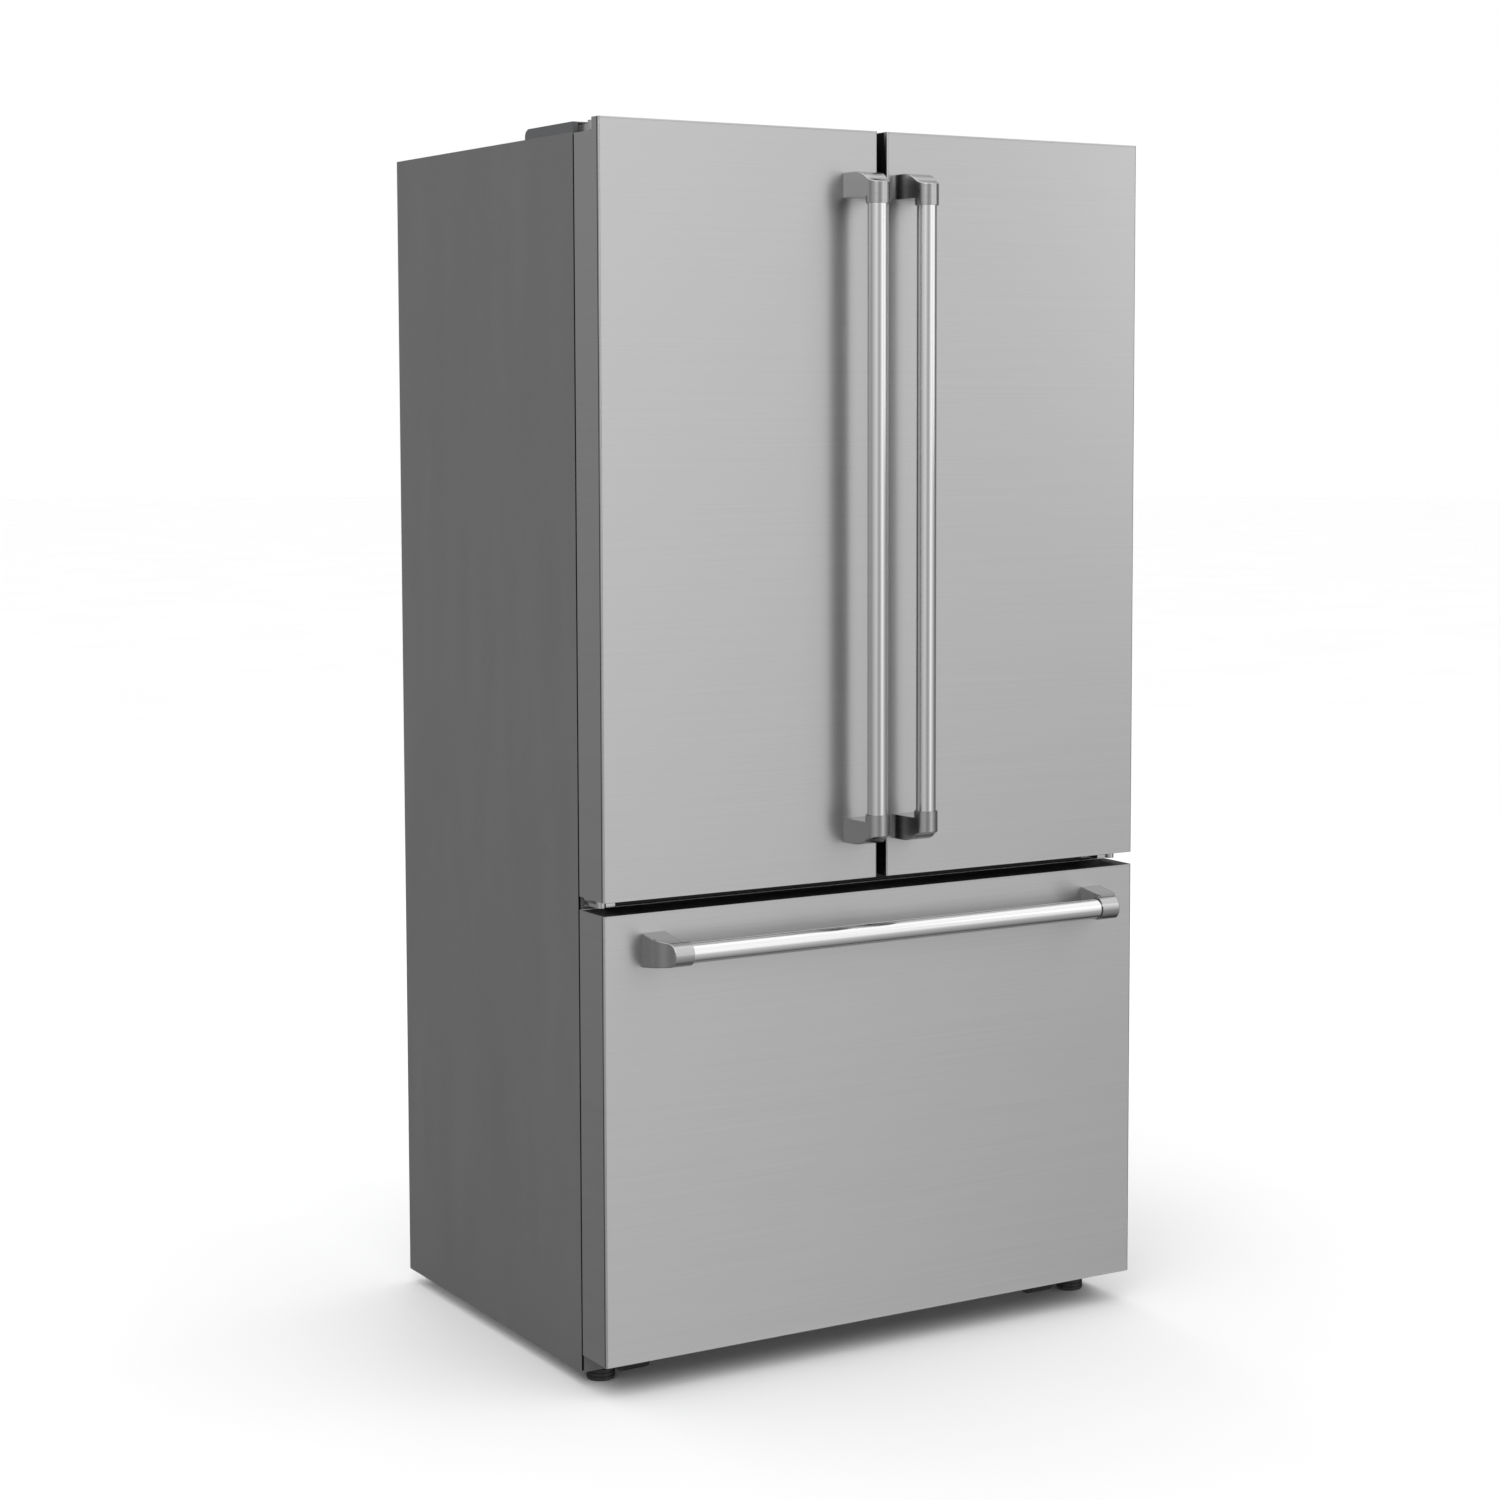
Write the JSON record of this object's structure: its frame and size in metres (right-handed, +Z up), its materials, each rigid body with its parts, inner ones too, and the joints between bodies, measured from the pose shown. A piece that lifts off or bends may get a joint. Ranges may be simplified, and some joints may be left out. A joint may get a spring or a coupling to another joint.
{
  "type": "french door refrigerator",
  "caption": "Upright fridge with side-by-side hinged upper doors over a pull-out freezer drawer, in brushed steel with bar handles and a dark grey cabinet.",
  "frame": {"origin": "centre of the bounding box on the floor", "axes": "+X to the viewer's right, -Y out of the doors, +Z up"},
  "size_m": [0.908, 0.7528, 1.7761],
  "materials": {
    "graphite_paint": "satin",
    "galvanised": "satin",
    "black_paint": "satin",
    "stainless": "satin",
    "polished_steel": "polished",
    "white_plastic": "gloss",
    "clear_plastic": "gloss",
    "graphite_plastic": "satin",
    "black_plastic": "satin",
    "foam": "matte",
    "seal_rubber": "matte",
    "safety_glass": "gloss",
    "zinc_steel": "satin",
    "fin_aluminium": "satin"
  },
  "bodies": {
    "cabinet": {"left_side_panel": "graphite_paint", "right_side_panel": "graphite_paint", "top_panel": "graphite_paint", "back_panel": "galvanised", "bottom_panel": "galvanised", "base_rail": "graphite_paint", "front_crossbar": "black_paint", "fridge_liner": "white_plastic", "freezer_liner": "white_plastic", "insulation_foam": "foam", "hinge_covers": "graphite_plastic", "hinge_plates": "zinc_steel", "air_duct_panel": "white_plastic", "light_housing": "white_plastic", "shelf_frames": "white_plastic", "shelf_glass": "safety_glass", "slide_channels": "zinc_steel", "roller_brackets": "zinc_steel", "compressor": "black_paint", "condenser": "fin_aluminium", "fan_shroud": "black_plastic", "rear_cover": "galvanised", "power_inlet": "black_plastic"},
    "left_door": {"left_door_skin": "stainless", "left_door_caps": "black_plastic", "left_door_liner": "white_plastic", "left_door_foam": "foam", "left_door_gasket": "seal_rubber", "left_door_bins": "clear_plastic", "left_handle_tube": "polished_steel", "left_handle_brackets": "stainless", "mullion_brackets": "zinc_steel"},
    "right_door": {"right_door_skin": "stainless", "right_door_caps": "black_plastic", "right_door_liner": "white_plastic", "right_door_foam": "foam", "right_door_gasket": "seal_rubber", "right_door_bins": "clear_plastic", "right_handle_tube": "polished_steel", "right_handle_brackets": "stainless"},
    "mullion": {"flip_mullion": "graphite_plastic"},
    "drawer": {"drawer_skin": "stainless", "drawer_caps": "black_plastic", "drawer_liner": "white_plastic", "drawer_foam": "foam", "drawer_gasket": "seal_rubber", "drawer_handle_tube": "polished_steel", "drawer_handle_brackets": "stainless", "freezer_basket": "white_plastic", "drawer_rails": "zinc_steel"},
    "upper_tray": {"freezer_tray": "clear_plastic"},
    "slide_members": {"slide_middles": "zinc_steel"},
    "crisper_left": {"left_crisper": "clear_plastic"},
    "crisper_right": {"right_crisper": "clear_plastic"},
    "front_roller_left": {"left_front_roller": "black_plastic"},
    "front_roller_right": {"right_front_roller": "black_plastic"},
    "rear_roller_pair": {"rear_rollers": "black_plastic"},
    "foot_left": {"left_foot": "black_plastic"},
    "foot_right": {"right_foot": "black_plastic"},
    "fan": {"fan_blades": "black_plastic"}
  },
  "joints": [
    {"name": "door_left_hinge", "type": "hinge", "parent": "cabinet", "child": "left_door", "pos_m": [-0.439, -0.2685, 1.2], "axis": [0, 0, -1], "range_deg": [0, 120]},
    {"name": "door_right_hinge", "type": "hinge", "parent": "cabinet", "child": "right_door", "pos_m": [0.439, -0.2685, 1.2], "axis": [0, 0, 1], "range_deg": [0, 120]},
    {"name": "drawer_slide", "type": "slide", "parent": "cabinet", "child": "drawer", "axis": [0, -1, 0], "range_m": [0, 0.4]},
    {"name": "drawer_slide_members", "type": "slide", "parent": "cabinet", "child": "slide_members", "axis": [0, -1, 0], "range_m": [0, 0.2]},
    {"name": "drawer_upper_tray", "type": "slide", "parent": "drawer", "child": "upper_tray", "axis": [0, 1, 0], "range_m": [0, 0.13]},
    {"name": "crisper_left_slide", "type": "slide", "parent": "cabinet", "child": "crisper_left", "axis": [0, -1, 0], "range_m": [0, 0.065]},
    {"name": "crisper_right_slide", "type": "slide", "parent": "cabinet", "child": "crisper_right", "axis": [0, -1, 0], "range_m": [0, 0.065]},
    {"name": "fan_spin", "type": "hinge", "parent": "cabinet", "child": "fan", "pos_m": [0.02, 0.282, 0.118], "axis": [1, 0, 0], "continuous": true},
    {"name": "flip_mullion_hinge", "type": "hinge", "parent": "left_door", "child": "mullion", "pos_m": [-0.021, -0.2205, 1.2], "axis": [0, 0, 1], "range_deg": [0, 90]},
    {"name": "foot_left_thread", "type": "slide", "parent": "cabinet", "child": "foot_left", "axis": [0, 0, -1], "range_m": [0, 0.012]},
    {"name": "foot_right_thread", "type": "slide", "parent": "cabinet", "child": "foot_right", "axis": [0, 0, -1], "range_m": [0, 0.012]},
    {"name": "roller_front_left", "type": "hinge", "parent": "cabinet", "child": "front_roller_left", "pos_m": [-0.357, -0.195, 0.02], "axis": [1, 0, 0], "continuous": true},
    {"name": "roller_front_right", "type": "hinge", "parent": "cabinet", "child": "front_roller_right", "pos_m": [0.357, -0.195, 0.02], "axis": [1, 0, 0], "continuous": true},
    {"name": "roller_rear", "type": "hinge", "parent": "cabinet", "child": "rear_roller_pair", "pos_m": [0, 0.33, 0.0115], "axis": [1, 0, 0], "continuous": true}
  ],
  "couplings": [
    {"joint": "flip_mullion_hinge", "follows": "door_left_hinge", "ratio": 0.75},
    {"joint": "drawer_slide_members", "follows": "drawer_slide", "ratio": 0.5}
  ]
}
